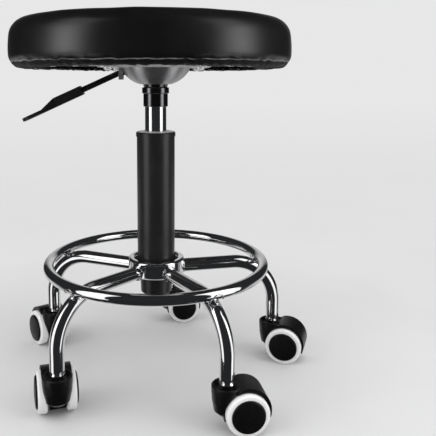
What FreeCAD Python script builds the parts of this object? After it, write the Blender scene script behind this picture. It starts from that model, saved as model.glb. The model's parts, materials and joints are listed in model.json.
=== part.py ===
import FreeCAD, Part
import math
import os

# Rolling stylist stool: a padded round seat on a gas lift column, a five-leg
# tube base with a foot ring, and five twin-wheel swivel casters.
# Millimetres. +Z is up, +X is to the user's right, +Y is towards the back.
# The origin lies on the floor, on the axis of the column.
# The seat is at its lowest height.

V = FreeCAD.Vector
UP = V(0, 0, 1)
ORIGIN = V(0, 0, 0)

# ---------------------------------------------------------------- driving dimensions
# base
LEG_COUNT = 5
FIRST_LEG_DEG = -132.0
LEG_R = 9.0
LEG_WALL = 1.5
LEG_REACH = 168.5
LEG_BEND_R = 60.0
LEG_Z = 143.8
LEG_END_Z = 60.0
RING_R = 143.0
RING_TUBE_R = 7.0
RING_Z = 151.6

# hub
HUB_R = 37.5
HUB_LOW_Z = 136.8
HUB_TOP_Z = 159.0
HUB_RIM_R = 3.0
GROOVE_R = 29.0
GROOVE_Z = 152.0

# column
TUBE_R = 25.0
TUBE_WALL = 2.0
TUBE_FOOT_R = 20.8
TUBE_LOW_Z = 109.0
TUBE_TOP_Z = 322.0
LIP_R = 26.0
LIP_TOP_Z = 328.0
BUSH_LOW_Z = 262.0
BUSH_TOP_Z = 328.8
ROD_R = 5.0
PISTON_R = 12.2
PISTON_Z = 268.0
RUN_CLEAR = 0.05

# gas cylinder and its socket
CYL_R = 14.0
CYL_WALL = 1.4
CYL_LOW_Z = 132.0
CYL_SHOULDER_Z = 378.0
CYL_TOP_Z = 397.0
TAPER_LOW_R = 12.9
TAPER_TOP_R = 12.3
SLEEVE_R = 16.1
SLEEVE_LOW_Z = 361.0
FLANGE_R = 17.7
FLANGE_LOW_Z = 378.0
FLANGE_TOP_Z = 386.0
NECK_R = 15.2
VALVE_R = 4.0
VALVE_TOP_Z = 401.3

# seat
BELL_RIM_R = 46.0
BELL_LOW_R = 20.3
BELL_LOW_Z = 390.0
BELL_WALL = 1.2
PLATE_SIDE = 138.0
PLATE_T = 2.5
PLATE_LOW_Z = 411.5
BOLT_SPACING = 112.0
BOLT_R = 3.0
COVER_R = 139.0
COVER_T = 0.6
BOARD_R = 165.0
BOARD_T = 12.0
WRAP_R = 140.0
WRAP_LOW_Z = 411.4
WRAP_OUT_R = 165.0
CREASE_R = 175.0
CREASE_Z = 417.4
LOW_WALL_R = 179.3
LOW_WALL_Z = 425.5
WALL_R = 177.9
WALL_Z = 451.4
SHOULDER_R = 156.5
SHOULDER_Z = 471.3
CROWN_R = 120.0
CROWN_Z = 473.7
SEAT_TOP_Z = 477.6
# the pad is screwed on a little to the left of the column's axis
PAD_SHIFT_X = -6.0

# height lever
LEVER_R = 3.75
LEVER_Z = 405.5
LEVER_DROOP_DEG = 24.4
LEVER_KNEE_X = -45.0
LEVER_INNER_X = 7.0
LEVER_LENGTH = 132.0
PIVOT_X = -30.0
PIVOT_PIN_R = 2.0
GRIP_START = 56.0
GRIP_LENGTH = 88.0
GRIP_THICK = 12.0
GRIP_THIN = 4.6
GRIP_WIDTH = 17.0
PADDLE_WIDTH = 24.0

# casters
WHEEL_R = 25.0
TYRE_T = 5.5
TYRE_IN_Y = 11.0
TYRE_OUT_Y = 23.0
CAP_DOME = 3.4
TRAIL = 20.0
AXLE_R = 3.0
STEM_R = 5.5
SPIGOT_R = 4.0
STEM_TOP_Z = 96.0
COLLAR_R = 9.4
COLLAR_LOW_Z = 52.4
BOSS_R = 18.0
BOSS_TOP_Z = 53.5
BOSS_LOW_Z = 19.5
DISH_R = 15.5
DISH_DEPTH = 3.5
WEB_HALF_Y = 10.0
HOOD_HALF_Y = 18.0
HOOD_GAP = 1.2
HOOD_WALL = 4.0
TAIL_WALL = 1.8
# direction in which each caster trails, seen from above
CASTER_YAW_DEG = [106.0, 8.0, -20.0, 10.0, 125.0]


# ---------------------------------------------------------------- helpers
def polar(radius, angle_deg, z=0.0):
    angle = math.radians(angle_deg)
    return V(radius * math.cos(angle), radius * math.sin(angle), z)


def cylinder(radius, z_low, z_high):
    return Part.makeCylinder(radius, z_high - z_low, V(0, 0, z_low), UP)


def ring(outer_r, inner_r, z_low, z_high):
    return cylinder(outer_r, z_low, z_high).cut(cylinder(inner_r, z_low - 1, z_high + 1))


def line(a, b):
    return Part.LineSegment(a, b).toShape()


def arc(a, middle, b):
    return Part.Arc(a, middle, b).toShape()


def tangent_chain(start, direction, ends):
    """Arcs from point to point, each one leaving where the last one arrives, with no kink."""
    edges = []
    for end in ends:
        chord = end - start
        middle = start + chord * 0.5
        along = chord.getAngle(direction)
        side = chord.cross(direction).cross(chord).normalize()
        bulge = 0.5 * chord.Length * math.tan(along / 2)
        edges.append(arc(start, middle + side * bulge, end))
        unit = V(chord).normalize()
        direction = unit * (2 * direction.dot(unit)) - direction
        start = end
    return edges


def turned(points):
    """Solid of revolution about Z from a closed outline of (radius, z) corners."""
    corners = [V(r, 0, z) for r, z in points]
    return turned_wire(Part.makePolygon(corners + corners[:1]))


def turned_wire(wire):
    return Part.Face(wire).revolve(ORIGIN, UP, 360)


def turned_about(solid, angle_deg):
    copy = solid.copy()
    copy.rotate(ORIGIN, UP, angle_deg)
    return copy


def box_between(x, y, z):
    return Part.makeBox(x[1] - x[0], y[1] - y[0], z[1] - z[0], V(x[0], y[0], z[0]))


def rounded_plate(side, corner_r, z_low, z_high):
    plate = box_between((-side / 2, side / 2), (-side / 2, side / 2), (z_low, z_high))
    corners = [e for e in plate.Edges if abs(e.Vertexes[0].Z - e.Vertexes[-1].Z) > 0.5 * (z_high - z_low)]
    return plate.makeFillet(corner_r, corners)


def leg_angle(index):
    return FIRST_LEG_DEG + index * 360.0 / LEG_COUNT


# ---------------------------------------------------------------- base
def leg_pipe(radius, start_r):
    """One leg along +X: level run, bend, vertical end."""
    bend_x = LEG_REACH - LEG_BEND_R
    bend_z = LEG_Z - LEG_BEND_R
    half = math.radians(45)
    crest = V(bend_x + LEG_BEND_R * math.sin(half), 0, bend_z + LEG_BEND_R * math.cos(half))
    start = V(start_r, 0, LEG_Z)
    bend_start = V(bend_x, 0, LEG_Z)
    bend_end = V(LEG_REACH, 0, bend_z)
    end = V(LEG_REACH, 0, LEG_END_Z)
    path = Part.Wire([line(start, bend_start), arc(bend_start, crest, bend_end), line(bend_end, end)])
    section = Part.Wire([Part.Circle(start, V(1, 0, 0), radius).toShape()])
    return path.makePipeShell([section], True, True)


def foot_ring():
    return Part.makeTorus(RING_R, RING_TUBE_R, V(0, 0, RING_Z), UP)


def leg_along_x():
    pipe = leg_pipe(LEG_R, HUB_R - 6).cut(leg_pipe(LEG_R - LEG_WALL, HUB_R - 7))
    bore = Part.makeCylinder(LEG_R - LEG_WALL, 2, V(LEG_REACH, 0, LEG_END_Z - 1), UP)
    return pipe.cut(bore).cut(cylinder(HUB_R, HUB_LOW_Z - 20, HUB_TOP_Z + 20)).cut(foot_ring())


def leg_sockets():
    inner_r = LEG_R - LEG_WALL
    sockets = []
    for index in range(LEG_COUNT):
        socket = ring(inner_r, STEM_R, LEG_END_Z, LEG_Z - LEG_BEND_R)
        sockets.append(at_leg_end(socket, index))
    return Part.makeCompound(sockets)


def hub():
    mid = HUB_RIM_R * math.sqrt(0.5)
    top_in = GROOVE_R + HUB_RIM_R
    edges = [
        line(V(TUBE_FOOT_R + 0.9, 0, HUB_LOW_Z), V(HUB_R - 2, 0, HUB_LOW_Z)),
        line(V(HUB_R - 2, 0, HUB_LOW_Z), V(HUB_R, 0, HUB_LOW_Z + 2)),
        line(V(HUB_R, 0, HUB_LOW_Z + 2), V(HUB_R, 0, HUB_TOP_Z - HUB_RIM_R)),
        arc(V(HUB_R, 0, HUB_TOP_Z - HUB_RIM_R),
            V(HUB_R - HUB_RIM_R + mid, 0, HUB_TOP_Z - HUB_RIM_R + mid),
            V(HUB_R - HUB_RIM_R, 0, HUB_TOP_Z)),
        line(V(HUB_R - HUB_RIM_R, 0, HUB_TOP_Z), V(top_in, 0, HUB_TOP_Z)),
        arc(V(top_in, 0, HUB_TOP_Z), V(top_in - mid, 0, HUB_TOP_Z - HUB_RIM_R + mid),
            V(GROOVE_R, 0, HUB_TOP_Z - HUB_RIM_R)),
        line(V(GROOVE_R, 0, HUB_TOP_Z - HUB_RIM_R), V(GROOVE_R, 0, GROOVE_Z)),
        line(V(GROOVE_R, 0, GROOVE_Z), V(TUBE_R, 0, GROOVE_Z)),
        line(V(TUBE_R, 0, GROOVE_Z), V(TUBE_FOOT_R + 0.9, 0, HUB_LOW_Z)),
    ]
    return turned_wire(Part.Wire(edges))


# ---------------------------------------------------------------- column
def column_tube():
    outline = [
        (ROD_R + RUN_CLEAR, TUBE_LOW_Z), (TUBE_FOOT_R - 2.5, TUBE_LOW_Z), (TUBE_FOOT_R, TUBE_LOW_Z + 2.5),
        (TUBE_FOOT_R + 0.9, HUB_LOW_Z), (TUBE_R, GROOVE_Z), (TUBE_R, TUBE_TOP_Z), (LIP_R, TUBE_TOP_Z),
        (LIP_R, LIP_TOP_Z - 1), (LIP_R - 1, LIP_TOP_Z), (TUBE_R - TUBE_WALL, LIP_TOP_Z),
        (TUBE_R - TUBE_WALL, GROOVE_Z + 2), (TUBE_FOOT_R - TUBE_WALL, HUB_LOW_Z - 2),
        (TUBE_FOOT_R - TUBE_WALL, TUBE_LOW_Z + 3), (ROD_R + RUN_CLEAR, TUBE_LOW_Z + 3),
    ]
    return turned(outline)


def guide_bush():
    outer_r = TUBE_R - TUBE_WALL
    bore_r = CYL_R + RUN_CLEAR
    outline = [
        (bore_r, BUSH_LOW_Z), (outer_r, BUSH_LOW_Z), (outer_r, BUSH_TOP_Z - 0.8),
        (outer_r - 1.5, BUSH_TOP_Z), (bore_r + 1, BUSH_TOP_Z), (bore_r, BUSH_TOP_Z - 1),
    ]
    return turned(outline)


def thrust_bearing():
    return ring(11.0, ROD_R + RUN_CLEAR, TUBE_LOW_Z + 3, TUBE_LOW_Z + 8)


def retaining_clip():
    return ring(8.5, ROD_R - 0.8, TUBE_LOW_Z - 1.9, TUBE_LOW_Z - 0.4)


def piston_rod():
    """Rod with a groove for the clip at its foot and the piston at its head."""
    clip_top = TUBE_LOW_Z - 0.4
    clip_low = TUBE_LOW_Z - 1.9
    outline = [
        (0, clip_low - 2), (ROD_R - 1, clip_low - 2), (ROD_R, clip_low - 1), (ROD_R, clip_low),
        (ROD_R - 0.8, clip_low), (ROD_R - 0.8, clip_top), (ROD_R, clip_top), (ROD_R, PISTON_Z),
        (PISTON_R, PISTON_Z), (PISTON_R, PISTON_Z + 12), (0, PISTON_Z + 12),
    ]
    return turned(outline)


# ---------------------------------------------------------------- gas lift and neck
def gas_cylinder():
    inner_r = CYL_R - CYL_WALL
    outline = [
        (ROD_R + RUN_CLEAR, CYL_LOW_Z), (CYL_R - 1.5, CYL_LOW_Z), (CYL_R, CYL_LOW_Z + 1.5),
        (CYL_R, CYL_SHOULDER_Z), (TAPER_LOW_R, CYL_SHOULDER_Z), (TAPER_TOP_R, CYL_TOP_Z),
        (VALVE_R + RUN_CLEAR, CYL_TOP_Z), (VALVE_R + RUN_CLEAR, CYL_TOP_Z - 12),
        (inner_r - 2, CYL_TOP_Z - 12), (inner_r - 2, CYL_SHOULDER_Z),
        (inner_r, CYL_SHOULDER_Z - 6), (inner_r, CYL_LOW_Z + 14),
        (ROD_R + RUN_CLEAR, CYL_LOW_Z + 14),
    ]
    return turned(outline)


def socket_collar():
    outline = [
        (CYL_R, SLEEVE_LOW_Z), (SLEEVE_R - 0.6, SLEEVE_LOW_Z), (SLEEVE_R, SLEEVE_LOW_Z + 0.6),
        (SLEEVE_R, FLANGE_LOW_Z), (FLANGE_R - 0.8, FLANGE_LOW_Z), (FLANGE_R, FLANGE_LOW_Z + 0.8),
        (FLANGE_R, FLANGE_TOP_Z - 0.8), (FLANGE_R - 0.8, FLANGE_TOP_Z), (NECK_R, FLANGE_TOP_Z),
        (NECK_R + 1.3, BELL_LOW_Z + 1), (TAPER_LOW_R + 0.2, BELL_LOW_Z + 1),
        (TAPER_LOW_R, CYL_SHOULDER_Z), (CYL_R, CYL_SHOULDER_Z),
    ]
    return turned(outline)


def valve_button():
    return turned([
        (0, CYL_TOP_Z - 10), (VALVE_R, CYL_TOP_Z - 10), (VALVE_R, VALVE_TOP_Z - 0.8),
        (VALVE_R - 0.8, VALVE_TOP_Z), (0, VALVE_TOP_Z)])


# ---------------------------------------------------------------- seat
def bell_outline(offset):
    """Bell wall from its low opening to its rim, moved inwards by offset."""
    low = V(BELL_LOW_R, 0, BELL_LOW_Z + offset)
    belly = V(BELL_RIM_R - 11.5 - offset, 0, BELL_LOW_Z + 7.3 + offset)
    rim = V(BELL_RIM_R - offset, 0, PLATE_LOW_Z)
    return low, belly, rim


def bell_cover():
    low, belly, rim = bell_outline(0)
    low_in, belly_in, rim_in = bell_outline(BELL_WALL)
    shell = turned_wire(Part.Wire([
        arc(low, belly, rim), line(rim, rim_in), arc(rim_in, belly_in, low_in), line(low_in, low)]))
    slot = box_between(
        (-BELL_RIM_R - 10, -BELL_RIM_R + 12), (-5.5, 5.5), (LEVER_Z - 8, PLATE_LOW_Z - 0.8))
    lip = box_between((-BELL_RIM_R - 1.6, -BELL_RIM_R + 4), (-7, 7), (LEVER_Z - 9.5, PLATE_LOW_Z))
    inside = turned_wire(Part.Wire([
        arc(rim_in, belly_in, low_in), line(low_in, V(0, 0, BELL_LOW_Z + BELL_WALL)),
        line(V(0, 0, BELL_LOW_Z + BELL_WALL), V(0, 0, PLATE_LOW_Z)), line(V(0, 0, PLATE_LOW_Z), rim_in)]))
    return shell.fuse(lip.cut(inside)).cut(slot).removeSplitter()


def bolt_places():
    half = BOLT_SPACING / 2
    return [V(x, y, 0) for x in (-half, half) for y in (-half, half)]


def with_bolt_holes(solid, radius):
    for place in bolt_places():
        hole = cylinder(radius, PLATE_LOW_Z - 5, PLATE_LOW_Z + 30)
        hole.translate(place)
        solid = solid.cut(hole)
    return solid


def seat_plate():
    """Square plate, the socket for the cylinder's taper and two ears for the lever's pin."""
    plate = rounded_plate(PLATE_SIDE, 14, PLATE_LOW_Z, PLATE_LOW_Z + PLATE_T)
    socket = turned([
        (TAPER_LOW_R + 0.1, BELL_LOW_Z + 1), (18, BELL_LOW_Z + 1.5), (18, PLATE_LOW_Z),
        (TAPER_TOP_R, PLATE_LOW_Z), (TAPER_TOP_R, CYL_TOP_Z)])
    way = box_between((-20, LEVER_INNER_X + 2), (-LEVER_R - 1, LEVER_R + 1), (LEVER_Z - 8.5, PLATE_LOW_Z))
    solid = plate.fuse(socket.cut(way))
    for side in (-1, 1):
        y_near, y_far = sorted((side * (LEVER_R + 0.6), side * (LEVER_R + 2.6)))
        ear = box_between((PIVOT_X - 5, PIVOT_X + 5), (y_near, y_far), (LEVER_Z - 5, PLATE_LOW_Z))
        solid = solid.fuse(ear)
    pin_hole = Part.makeCylinder(PIVOT_PIN_R, 20, V(PIVOT_X, -10, LEVER_Z), V(0, 1, 0))
    return with_bolt_holes(solid.cut(pin_hole), BOLT_R)


def lever_pin():
    length = 2 * (LEVER_R + 3.6)
    return Part.makeCylinder(PIVOT_PIN_R, length, V(PIVOT_X, -length / 2, LEVER_Z), V(0, 1, 0))


def seat_bolts():
    bolts = []
    for place in bolt_places():
        shank = cylinder(BOLT_R, PLATE_LOW_Z, PLATE_LOW_Z + 11)
        head = cylinder(5.6, PLATE_LOW_Z - 1.2, PLATE_LOW_Z)
        dome = Part.makeSphere(7.5, V(0, 0, PLATE_LOW_Z + 3.2))
        dome = dome.common(cylinder(5.2, PLATE_LOW_Z - 5, PLATE_LOW_Z - 1.2))
        bolt = shank.fuse([head, dome])
        bolt.translate(place)
        bolts.append(bolt)
    return Part.makeCompound(bolts)


def disc_under_pad(radius, z_low, z_high):
    disc = cylinder(radius, z_low, z_high)
    disc.translate(V(PAD_SHIFT_X, 0, 0))
    return with_bolt_holes(disc, BOLT_R)


def dust_cover():
    low = PLATE_LOW_Z + PLATE_T
    return disc_under_pad(COVER_R, low, low + COVER_T)


def seat_board():
    low = PLATE_LOW_Z + PLATE_T + COVER_T
    return disc_under_pad(BOARD_R, low, low + BOARD_T)


def seat_cushion():
    """Closed pad with a flat recess that holds the board, wrapped round the board's rim."""
    low_centre = V(0, 0, WRAP_LOW_Z)
    top = V(0, 0, SEAT_TOP_Z)
    side = tangent_chain(top, V(1, 0, 0), [
        V(CROWN_R, 0, CROWN_Z), V(SHOULDER_R, 0, SHOULDER_Z), V(WALL_R, 0, WALL_Z),
        V(LOW_WALL_R, 0, LOW_WALL_Z), V(CREASE_R, 0, CREASE_Z), V(WRAP_OUT_R, 0, WRAP_LOW_Z)])
    wire = Part.Wire(side + [line(V(WRAP_OUT_R, 0, WRAP_LOW_Z), low_centre), line(low_centre, top)])
    low = PLATE_LOW_Z + PLATE_T + COVER_T
    solid = turned_wire(wire).cut(cylinder(BOARD_R, low, low + BOARD_T))
    solid = solid.cut(cylinder(WRAP_R, WRAP_LOW_Z - 1, low + 1))
    solid.translate(V(PAD_SHIFT_X, 0, 0))
    return solid


# ---------------------------------------------------------------- height lever
def lever_frame(solid):
    """Move a solid from the lever's own frame (+X out along the rod, +Z down) to its place."""
    moved = solid.copy()
    moved.rotate(ORIGIN, V(0, 1, 0), 180 - LEVER_DROOP_DEG)
    moved.translate(V(LEVER_KNEE_X, 0, LEVER_Z))
    return moved


def lever_rod():
    droop = math.radians(LEVER_DROOP_DEG)
    inner = V(LEVER_INNER_X, 0, LEVER_Z)
    knee = V(LEVER_KNEE_X, 0, LEVER_Z)
    end = knee + V(-math.cos(droop), 0, -math.sin(droop)) * (LEVER_LENGTH - 36)
    rise = 5.0
    before = knee + V(rise, 0, 0)
    after = knee + V(-math.cos(droop), 0, -math.sin(droop)) * rise
    bend_r = rise / math.tan(droop / 2)
    centre = before - V(0, 0, bend_r)
    half = droop / 2
    middle = centre + V(-math.sin(half), 0, math.cos(half)) * bend_r
    path = Part.Wire([line(inner, before), arc(before, middle, after), line(after, end)])
    section = Part.Wire([Part.Circle(inner, V(1, 0, 0), LEVER_R).toShape()])
    rod = path.makePipeShell([section], True, True)
    hole = Part.makeCylinder(PIVOT_PIN_R + RUN_CLEAR, 20, V(PIVOT_X, -10, LEVER_Z), V(0, 1, 0))
    return rod.cut(hole)


def lever_grip():
    """Thick sleeve whose upper side tapers to a thin, wider paddle."""
    half = GRIP_THICK / 2
    low = -half
    thin_top = low + GRIP_THIN
    x0, x1, x2, x3 = GRIP_START, GRIP_START + 38, GRIP_START + 58, GRIP_START + GRIP_LENGTH
    tip = V(x3, 0, low + GRIP_THIN / 2)
    side = Part.Wire([
        line(V(x0, 0, low), V(x3 - 2, 0, low)), arc(V(x3 - 2, 0, low), tip, V(x3 - 2, 0, thin_top)),
        line(V(x3 - 2, 0, thin_top), V(x2, 0, thin_top)), line(V(x2, 0, thin_top), V(x1, 0, half)),
        line(V(x1, 0, half), V(x0, 0, half)), line(V(x0, 0, half), V(x0, 0, low))])
    block = Part.Face(side).extrude(V(0, PADDLE_WIDTH, 0))
    block.translate(V(0, -PADDLE_WIDTH / 2, 0))
    narrow = GRIP_WIDTH / 2
    wide = PADDLE_WIDTH / 2
    plan_edges = [
        line(V(x0, -narrow, -20), V(x1, -narrow, -20)), line(V(x1, -narrow, -20), V(x2 + 4, -wide, -20)),
        line(V(x2 + 4, -wide, -20), V(x3 - wide, -wide, -20)),
        arc(V(x3 - wide, -wide, -20), V(x3, 0, -20), V(x3 - wide, wide, -20)),
        line(V(x3 - wide, wide, -20), V(x2 + 4, wide, -20)),
        line(V(x2 + 4, wide, -20), V(x1, narrow, -20)),
        line(V(x1, narrow, -20), V(x0, narrow, -20)), line(V(x0, narrow, -20), V(x0, -narrow, -20))]
    plan = Part.Face(Part.Wire(plan_edges)).extrude(V(0, 0, 40))
    grip = block.common(plan).removeSplitter()
    long_edges = [e for e in grip.Edges if e.Length > 30]
    grip = grip.makeFillet(1.6, long_edges)
    rod_hole = Part.makeCylinder(LEVER_R, LEVER_LENGTH - 36 - GRIP_START, V(GRIP_START, 0, 0), V(1, 0, 0))
    return lever_frame(grip.cut(rod_hole).mirror(ORIGIN, UP))


# ---------------------------------------------------------------- casters
# Each caster is built with its stem on Z and its wheels trailing towards +X.
def wheel_cylinder(radius, y_near, y_far):
    low, high = sorted((y_near, y_far))
    return Part.makeCylinder(radius, high - low, V(TRAIL, low, WHEEL_R), V(0, 1, 0))


def wheel_turned(edges):
    """Solid turned about the axle from edges drawn in (radius, y)."""
    face = Part.Face(Part.Wire(edges))
    solid = face.revolve(ORIGIN, V(0, 1, 0), 360)
    solid.translate(V(TRAIL, 0, WHEEL_R))
    return solid


def wheel(side):
    core_r = WHEEL_R - TYRE_T
    inner = side * TYRE_IN_Y
    outer = side * TYRE_OUT_Y
    bore = AXLE_R + RUN_CLEAR
    blind = side * (TYRE_OUT_Y - 4)
    crown = V(0, side * (TYRE_OUT_Y + CAP_DOME), 0)
    cap_edge = V(core_r - 2.0, side * (TYRE_OUT_Y + CAP_DOME - 1.1), 0)
    dome = tangent_chain(crown, V(1, 0, 0), [cap_edge, V(core_r, outer, 0)])
    edges = dome + [
        line(V(core_r, outer, 0), V(core_r, inner, 0)), line(V(core_r, inner, 0), V(bore, inner, 0)),
        line(V(bore, inner, 0), V(bore, blind, 0)), line(V(bore, blind, 0), V(0, blind, 0)),
        line(V(0, blind, 0), crown)]
    return wheel_turned(edges)


def tyre(side):
    core_r = WHEEL_R - TYRE_T
    low = side * (TYRE_IN_Y + 0.4)
    high = side * (TYRE_OUT_Y - 0.2)
    round_r = 2.5
    mid = round_r * (1 - math.sqrt(0.5))
    edges = [
        line(V(core_r, low, 0), V(WHEEL_R - round_r, low, 0)),
        arc(V(WHEEL_R - round_r, low, 0), V(WHEEL_R - mid, low + side * mid, 0),
            V(WHEEL_R, low + side * round_r, 0)),
        line(V(WHEEL_R, low + side * round_r, 0), V(WHEEL_R, high - side * round_r, 0)),
        arc(V(WHEEL_R, high - side * round_r, 0), V(WHEEL_R - mid, high - side * mid, 0),
            V(WHEEL_R - round_r, high, 0)),
        line(V(WHEEL_R - round_r, high, 0), V(core_r, high, 0)),
        line(V(core_r, high, 0), V(core_r, low, 0))]
    return wheel_turned(edges)


def axle():
    reach = TYRE_OUT_Y - 4.4
    return wheel_cylinder(AXLE_R, -reach, reach)


def stem():
    outline = [
        (0, BOSS_TOP_Z - 22), (SPIGOT_R, BOSS_TOP_Z - 22), (SPIGOT_R, COLLAR_LOW_Z),
        (COLLAR_R - 1.6, COLLAR_LOW_Z),
        (COLLAR_R, COLLAR_LOW_Z + 1.6), (COLLAR_R, COLLAR_LOW_Z + 3.2), (COLLAR_R - 1.8, LEG_END_Z - 2.4),
        (COLLAR_R - 0.4, LEG_END_Z), (STEM_R, LEG_END_Z), (STEM_R, STEM_TOP_Z), (0, STEM_TOP_Z)]
    return turned(outline)


def boss():
    dish_z = BOSS_TOP_Z - DISH_DEPTH
    outline = [
        (0, BOSS_LOW_Z), (BOSS_R - 7, BOSS_LOW_Z), (BOSS_R - 3, BOSS_LOW_Z + 4),
        (BOSS_R - 0.8, BOSS_LOW_Z + 16), (BOSS_R, BOSS_TOP_Z - 6), (BOSS_R, BOSS_TOP_Z - 1),
        (BOSS_R - 1, BOSS_TOP_Z), (DISH_R, BOSS_TOP_Z), (DISH_R - 4, dish_z), (0, dish_z)]
    return turned(outline)


def hood():
    """Curved guard over the wheels, drawn from the side: thick over the boss, thin at the tail."""
    gap_r = WHEEL_R + HOOD_GAP
    top_r = gap_r + HOOD_WALL
    tail_r = gap_r + TAIL_WALL

    def at(radius, angle_deg):
        angle = math.radians(angle_deg)
        return V(TRAIL + radius * math.cos(angle), -HOOD_HALF_Y, WHEEL_R + radius * math.sin(angle))

    tail_deg = -10
    start_deg = 118
    middle_deg = 52
    outer_mid = at((top_r + tail_r) / 2 + 1.0, middle_deg)
    edges = [
        arc(at(gap_r, start_deg), at(gap_r, middle_deg), at(gap_r, tail_deg)),
        line(at(gap_r, tail_deg), at(gap_r + 0.9, tail_deg)),
        arc(at(gap_r + 0.9, tail_deg), outer_mid, at(top_r, 98)),
        line(at(top_r, 98), at(top_r - 1.5, start_deg)),
        line(at(top_r - 1.5, start_deg), at(gap_r, start_deg))]
    return Part.Face(Part.Wire(edges)).extrude(V(0, 2 * HOOD_HALF_Y, 0))


def caster_housing():
    web = wheel_cylinder(WHEEL_R + HOOD_GAP + 1, -WEB_HALF_Y, WEB_HALF_Y)
    web = web.common(box_between((-5, TRAIL + 40), (-WEB_HALF_Y, WEB_HALF_Y), (14, 60)))
    body = boss().fuse([hood(), web])
    for side in (-1, 1):
        pocket = wheel_cylinder(WHEEL_R + HOOD_GAP, side * (WEB_HALF_Y), side * (HOOD_HALF_Y + 12))
        body = body.cut(pocket)
    body = body.cut(cylinder(SPIGOT_R + RUN_CLEAR, BOSS_TOP_Z - 22.5, BOSS_TOP_Z + 5))
    return body.cut(axle()).removeSplitter()


def at_leg_end(solid, index, yaw_deg=0.0):
    placed = turned_about(solid, yaw_deg)
    placed.translate(polar(LEG_REACH, leg_angle(index)))
    return placed


# ---------------------------------------------------------------- assembly
def build_nodes():
    nodes = {
        "hub": hub(), "foot_ring": foot_ring(), "leg_sockets": leg_sockets(),
        "column_tube": column_tube(), "guide_bush": guide_bush(), "thrust_bearing": thrust_bearing(),
        "retaining_clip": retaining_clip(), "piston_rod": piston_rod(),
        "gas_cylinder": gas_cylinder(), "socket_collar": socket_collar(), "valve_button": valve_button(),
        "bell_cover": bell_cover(), "seat_plate": seat_plate(), "seat_bolts": seat_bolts(),
        "dust_cover": dust_cover(), "seat_board": seat_board(), "seat_cushion": seat_cushion(),
        "lever_pin": lever_pin(), "lever_rod": lever_rod(), "lever_grip": lever_grip(),
    }
    leg = leg_along_x()
    caster_parts = {
        "housing": caster_housing(), "axle": axle(),
        "wheel_left": wheel(1), "wheel_right": wheel(-1), "tyre_left": tyre(1), "tyre_right": tyre(-1),
    }
    for index in range(LEG_COUNT):
        number = index + 1
        nodes["leg_%d" % number] = turned_about(leg, leg_angle(index))
        nodes["stem_%d" % number] = at_leg_end(stem(), index)
        for name, solid in caster_parts.items():
            nodes["%s_%d" % (name, number)] = at_leg_end(solid, index, CASTER_YAW_DEG[index])
    return nodes


def main():
    os.makedirs("parts", exist_ok=True)
    for name, shape in build_nodes().items():
        if not shape.isValid() or shape.Volume <= 0:
            raise ValueError("bad solid: " + name)
        shape.exportStep("parts/%s.step" % name)
        print("%-16s solids %d volume %.0f mm3" % (name, len(shape.Solids), shape.Volume))


main()
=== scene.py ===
import json
import math
import random

import bpy
import numpy as np
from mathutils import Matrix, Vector
from mathutils.bvhtree import BVHTree


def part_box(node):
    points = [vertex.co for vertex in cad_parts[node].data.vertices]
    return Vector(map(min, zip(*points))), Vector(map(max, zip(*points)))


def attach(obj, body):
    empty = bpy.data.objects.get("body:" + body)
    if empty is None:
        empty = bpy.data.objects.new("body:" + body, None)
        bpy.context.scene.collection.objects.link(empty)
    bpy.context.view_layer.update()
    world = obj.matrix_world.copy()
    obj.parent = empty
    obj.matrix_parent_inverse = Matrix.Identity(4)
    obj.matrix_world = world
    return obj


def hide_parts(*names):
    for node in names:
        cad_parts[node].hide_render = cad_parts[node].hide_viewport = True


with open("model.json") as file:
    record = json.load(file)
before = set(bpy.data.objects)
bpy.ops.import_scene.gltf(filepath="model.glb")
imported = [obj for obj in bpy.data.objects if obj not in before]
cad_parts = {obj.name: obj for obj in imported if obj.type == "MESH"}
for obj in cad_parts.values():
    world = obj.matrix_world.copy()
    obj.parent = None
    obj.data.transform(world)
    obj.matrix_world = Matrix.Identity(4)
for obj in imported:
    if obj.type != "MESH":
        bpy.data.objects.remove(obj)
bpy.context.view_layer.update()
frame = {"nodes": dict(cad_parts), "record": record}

# Looks of the rolling stylist stool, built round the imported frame. Metres, +Z up.

MM = 0.001
TINY = 1e-9
NODES = frame["nodes"]
CASTERS = range(1, 6)
random.seed(7)


# ---------------------------------------------------------------- node helpers
def two_colors(tree, factor, first, second):
    """first where factor is 0, second where it is 1. Each is a colour or a node's output."""
    node = tree.nodes.new("ShaderNodeMix")
    node.data_type = "RGBA"
    for socket, value in (("A", first), ("B", second)):
        if isinstance(value, bpy.types.NodeSocket):
            tree.links.new(value, node.inputs[socket])
        else:
            node.inputs[socket].default_value = (*value[:3], 1)
    tree.links.new(factor, node.inputs["Factor"])
    return node.outputs["Result"]


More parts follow.
